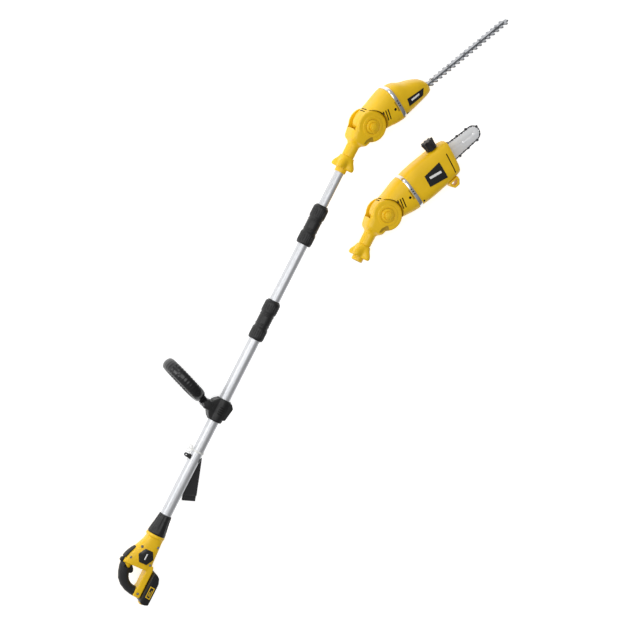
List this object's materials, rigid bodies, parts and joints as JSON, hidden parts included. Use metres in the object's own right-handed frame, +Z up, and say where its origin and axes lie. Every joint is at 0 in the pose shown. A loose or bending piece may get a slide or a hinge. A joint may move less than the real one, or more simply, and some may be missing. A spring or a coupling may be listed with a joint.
{
  "type": "telescoping cordless pole tool",
  "caption": "Cordless pole tool with telescoping tubes, battery handle and loop handle, hedge-trimmer head fitted and a pole-saw head beside it.",
  "frame": {"origin": "centre of the base of the bounding box of the tool lying on its side with the saw head beside it", "axes": "+X along the pole towards the head, +Y to the side that the loop handle stands on, +Z up, to the right side of the tool"},
  "size_m": [2.1568, 0.6062, 0.14],
  "materials": {
    "yellow_plastic": "satin moulded",
    "black_plastic": "satin moulded",
    "loop_plastic": "glossy moulded",
    "grip_rubber": "matt soft",
    "tube_aluminium": "anodised satin",
    "ring_metal": "bright",
    "steel": "ground",
    "bar_steel": "painted pale",
    "motor_can": "plated",
    "cable_rubber": "matt",
    "webbing": "woven",
    "tie_plastic": "paper-like"
  },
  "bodies": {
    "pole_base": {"handle_shell_right": "yellow_plastic", "handle_shell_left": "yellow_plastic", "rear_grip": "grip_rubber", "hex_badges": "black_plastic", "trigger_switch": "black_plastic", "battery_terminals": "black_plastic", "tube_boot": "black_plastic", "handle_screws": "steel", "lower_tube": "tube_aluminium", "lower_collet": "black_plastic", "coiled_cable": "cable_rubber", "shoulder_strap": "webbing", "strap_hook": "black_plastic", "twist_tie": "tie_plastic"},
    "trigger": {"trigger": "black_plastic"},
    "lock_off_button": {"lock_off_button": "black_plastic"},
    "battery": {"battery_case": "black_plastic", "battery_label": "yellow_plastic", "battery_cells": "motor_can"},
    "battery_latch": {"battery_latch": "yellow_plastic"},
    "lower_collar": {"lower_lock_collar": "black_plastic"},
    "middle_section": {"middle_tube": "tube_aluminium", "upper_collet": "black_plastic"},
    "upper_collar": {"upper_lock_collar": "black_plastic"},
    "upper_section": {"upper_tube": "tube_aluminium", "pole_plug": "black_plastic"},
    "loop_clamp": {"loop_clamp": "black_plastic"},
    "loop_handle": {"loop_handle": "loop_plastic"},
    "clamp_knob": {"clamp_knob": "black_plastic"},
    "hedge_neck": {"hedge_neck": "yellow_plastic"},
    "hedge_lock_nut": {"hedge_lock_nut": "yellow_plastic"},
    "hedge_head": {"hedge_pivot_axle": "steel", "hedge_housing_right": "yellow_plastic", "hedge_housing_left": "yellow_plastic", "hedge_ring": "ring_metal", "hedge_badge": "black_plastic", "hedge_motor": "motor_can", "hedge_gear_case": "yellow_plastic", "hedge_blade_bar": "steel", "hedge_blade_screws": "steel"},
    "hedge_tilt_button": {"hedge_tilt_button": "yellow_plastic"},
    "hedge_drive_gear": {"hedge_drive_gear": "steel"},
    "hedge_blade_upper": {"hedge_blade_upper": "steel"},
    "hedge_blade_lower": {"hedge_blade_lower": "steel"},
    "saw_neck": {"saw_neck": "yellow_plastic"},
    "saw_lock_nut": {"saw_lock_nut": "yellow_plastic"},
    "saw_head": {"saw_pivot_axle": "steel", "saw_housing_right": "yellow_plastic", "saw_housing_left": "yellow_plastic", "saw_ring": "ring_metal", "saw_badge": "black_plastic", "saw_motor": "motor_can", "saw_gear_case": "yellow_plastic", "saw_side_cover": "yellow_plastic", "guide_bar": "bar_steel", "saw_chain": "steel", "saw_hook": "yellow_plastic"},
    "saw_tilt_button": {"saw_tilt_button": "yellow_plastic"},
    "saw_sprocket": {"saw_sprocket": "steel"},
    "oil_cap": {"oil_cap": "black_plastic"}
  },
  "joints": [
    {"name": "trigger_squeeze", "type": "hinge", "parent": "pole_base", "child": "trigger", "pos_m": [-0.97544, 0.11461, 0.07], "axis": [0, 0, 1], "range_deg": [-14, 0], "stiffness_Nm_per_rad": 0.6, "springref_deg": 17.19},
    {"name": "lock_off_press", "type": "slide", "parent": "pole_base", "child": "lock_off_button", "axis": [0, -1, 0], "range_m": [0, 0.003], "stiffness_N_per_m": 400, "springref_m": -0.003},
    {"name": "battery_release", "type": "slide", "parent": "pole_base", "child": "battery", "axis": [-1, 0, 0], "range_m": [0, 0.09]},
    {"name": "battery_latch_press", "type": "slide", "parent": "battery", "child": "battery_latch", "axis": [1, 0, 0], "range_m": [0, 0.0025], "stiffness_N_per_m": 400, "springref_m": -0.003},
    {"name": "lower_collar_twist", "type": "hinge", "parent": "pole_base", "child": "lower_collar", "pos_m": [-0.11844, 0.07761, 0.07], "axis": [1, 0, 0], "range_deg": [-75, 0]},
    {"name": "middle_tube_slide", "type": "slide", "parent": "pole_base", "child": "middle_section", "axis": [1, 0, 0], "range_m": [-0.19, 0.32]},
    {"name": "upper_collar_twist", "type": "hinge", "parent": "middle_section", "child": "upper_collar", "pos_m": [0.21156, 0.07761, 0.07], "axis": [1, 0, 0], "range_deg": [-75, 0]},
    {"name": "upper_tube_slide", "type": "slide", "parent": "middle_section", "child": "upper_section", "axis": [1, 0, 0], "range_m": [-0.11, 0.32]},
    {"name": "loop_clamp_slide", "type": "slide", "parent": "pole_base", "child": "loop_clamp", "axis": [1, 0, 0], "range_m": [-0.09, 0.2]},
    {"name": "loop_handle_tilt", "type": "hinge", "parent": "loop_clamp", "child": "loop_handle", "pos_m": [-0.42744, 0.12661, 0.07], "axis": [0, 0, 1], "range_deg": [-35, 25]},
    {"name": "clamp_knob_turn", "type": "hinge", "parent": "loop_clamp", "child": "clamp_knob", "pos_m": [-0.42744, 0.12661, 0.07], "axis": [0, 0, 1], "continuous": true},
    {"name": "hedge_head_pull_off", "type": "slide", "parent": "upper_section", "child": "hedge_neck", "axis": [1, 0, 0], "range_m": [0, 0.08]},
    {"name": "hedge_lock_nut_twist", "type": "hinge", "parent": "hedge_neck", "child": "hedge_lock_nut", "pos_m": [0.42656, 0.07761, 0.07], "axis": [1, 0, 0], "range_deg": [-90, 0]},
    {"name": "hedge_head_tilt", "type": "hinge", "parent": "hedge_neck", "child": "hedge_head", "pos_m": [0.56656, 0.06576, 0.06812], "axis": [0, -0.1564, 0.9877], "range_deg": [-10, 60]},
    {"name": "hedge_tilt_button_press", "type": "slide", "parent": "hedge_head", "child": "hedge_tilt_button", "axis": [0, 0.1564, -0.9877], "range_m": [0, 0.0035], "stiffness_N_per_m": 400, "springref_m": -0.003},
    {"name": "hedge_drive_gear_spin", "type": "hinge", "parent": "hedge_head", "child": "hedge_drive_gear", "pos_m": [0.72887, -0.00659, 0.05666], "axis": [0.4368, 0.8885, 0.1407], "continuous": true},
    {"name": "hedge_blade_upper_stroke", "type": "slide", "parent": "hedge_head", "child": "hedge_blade_upper", "axis": [0.8996, -0.4314, -0.0683], "range_m": [-0.008, 0.008]},
    {"name": "hedge_blade_lower_stroke", "type": "slide", "parent": "hedge_head", "child": "hedge_blade_lower", "axis": [0.8996, -0.4314, -0.0683], "range_m": [-0.008, 0.008]},
    {"name": "saw_head_lift", "type": "slide", "parent": "pole_base", "child": "saw_neck", "axis": [0, 0, 1], "range_m": [0, 0.3]},
    {"name": "saw_lock_nut_twist", "type": "hinge", "parent": "saw_neck", "child": "saw_lock_nut", "pos_m": [0.20856, -0.11239, 0.048], "axis": [1, 0, 0], "range_deg": [-90, 0]},
    {"name": "saw_head_tilt", "type": "hinge", "parent": "saw_neck", "child": "saw_head", "pos_m": [0.34856, -0.12439, 0.048], "axis": [0, 0, 1], "range_deg": [-60, 24]},
    {"name": "saw_tilt_button_press", "type": "slide", "parent": "saw_head", "child": "saw_tilt_button", "axis": [0, 0, -1], "range_m": [0, 0.0035], "stiffness_N_per_m": 400, "springref_m": -0.003},
    {"name": "saw_sprocket_spin", "type": "hinge", "parent": "saw_head", "child": "saw_sprocket", "pos_m": [0.50306, -0.18318, 0.03], "axis": [0, 0, 1], "continuous": true},
    {"name": "oil_cap_turn", "type": "hinge", "parent": "saw_head", "child": "oil_cap", "pos_m": [0.59861, -0.16597, 0.062], "axis": [0.4115, 0.9114, 0], "range_deg": [0, 90]}
  ],
  "couplings": [
    {"joint": "hedge_blade_lower_stroke", "follows": "hedge_blade_upper_stroke", "ratio": -1}
  ]
}
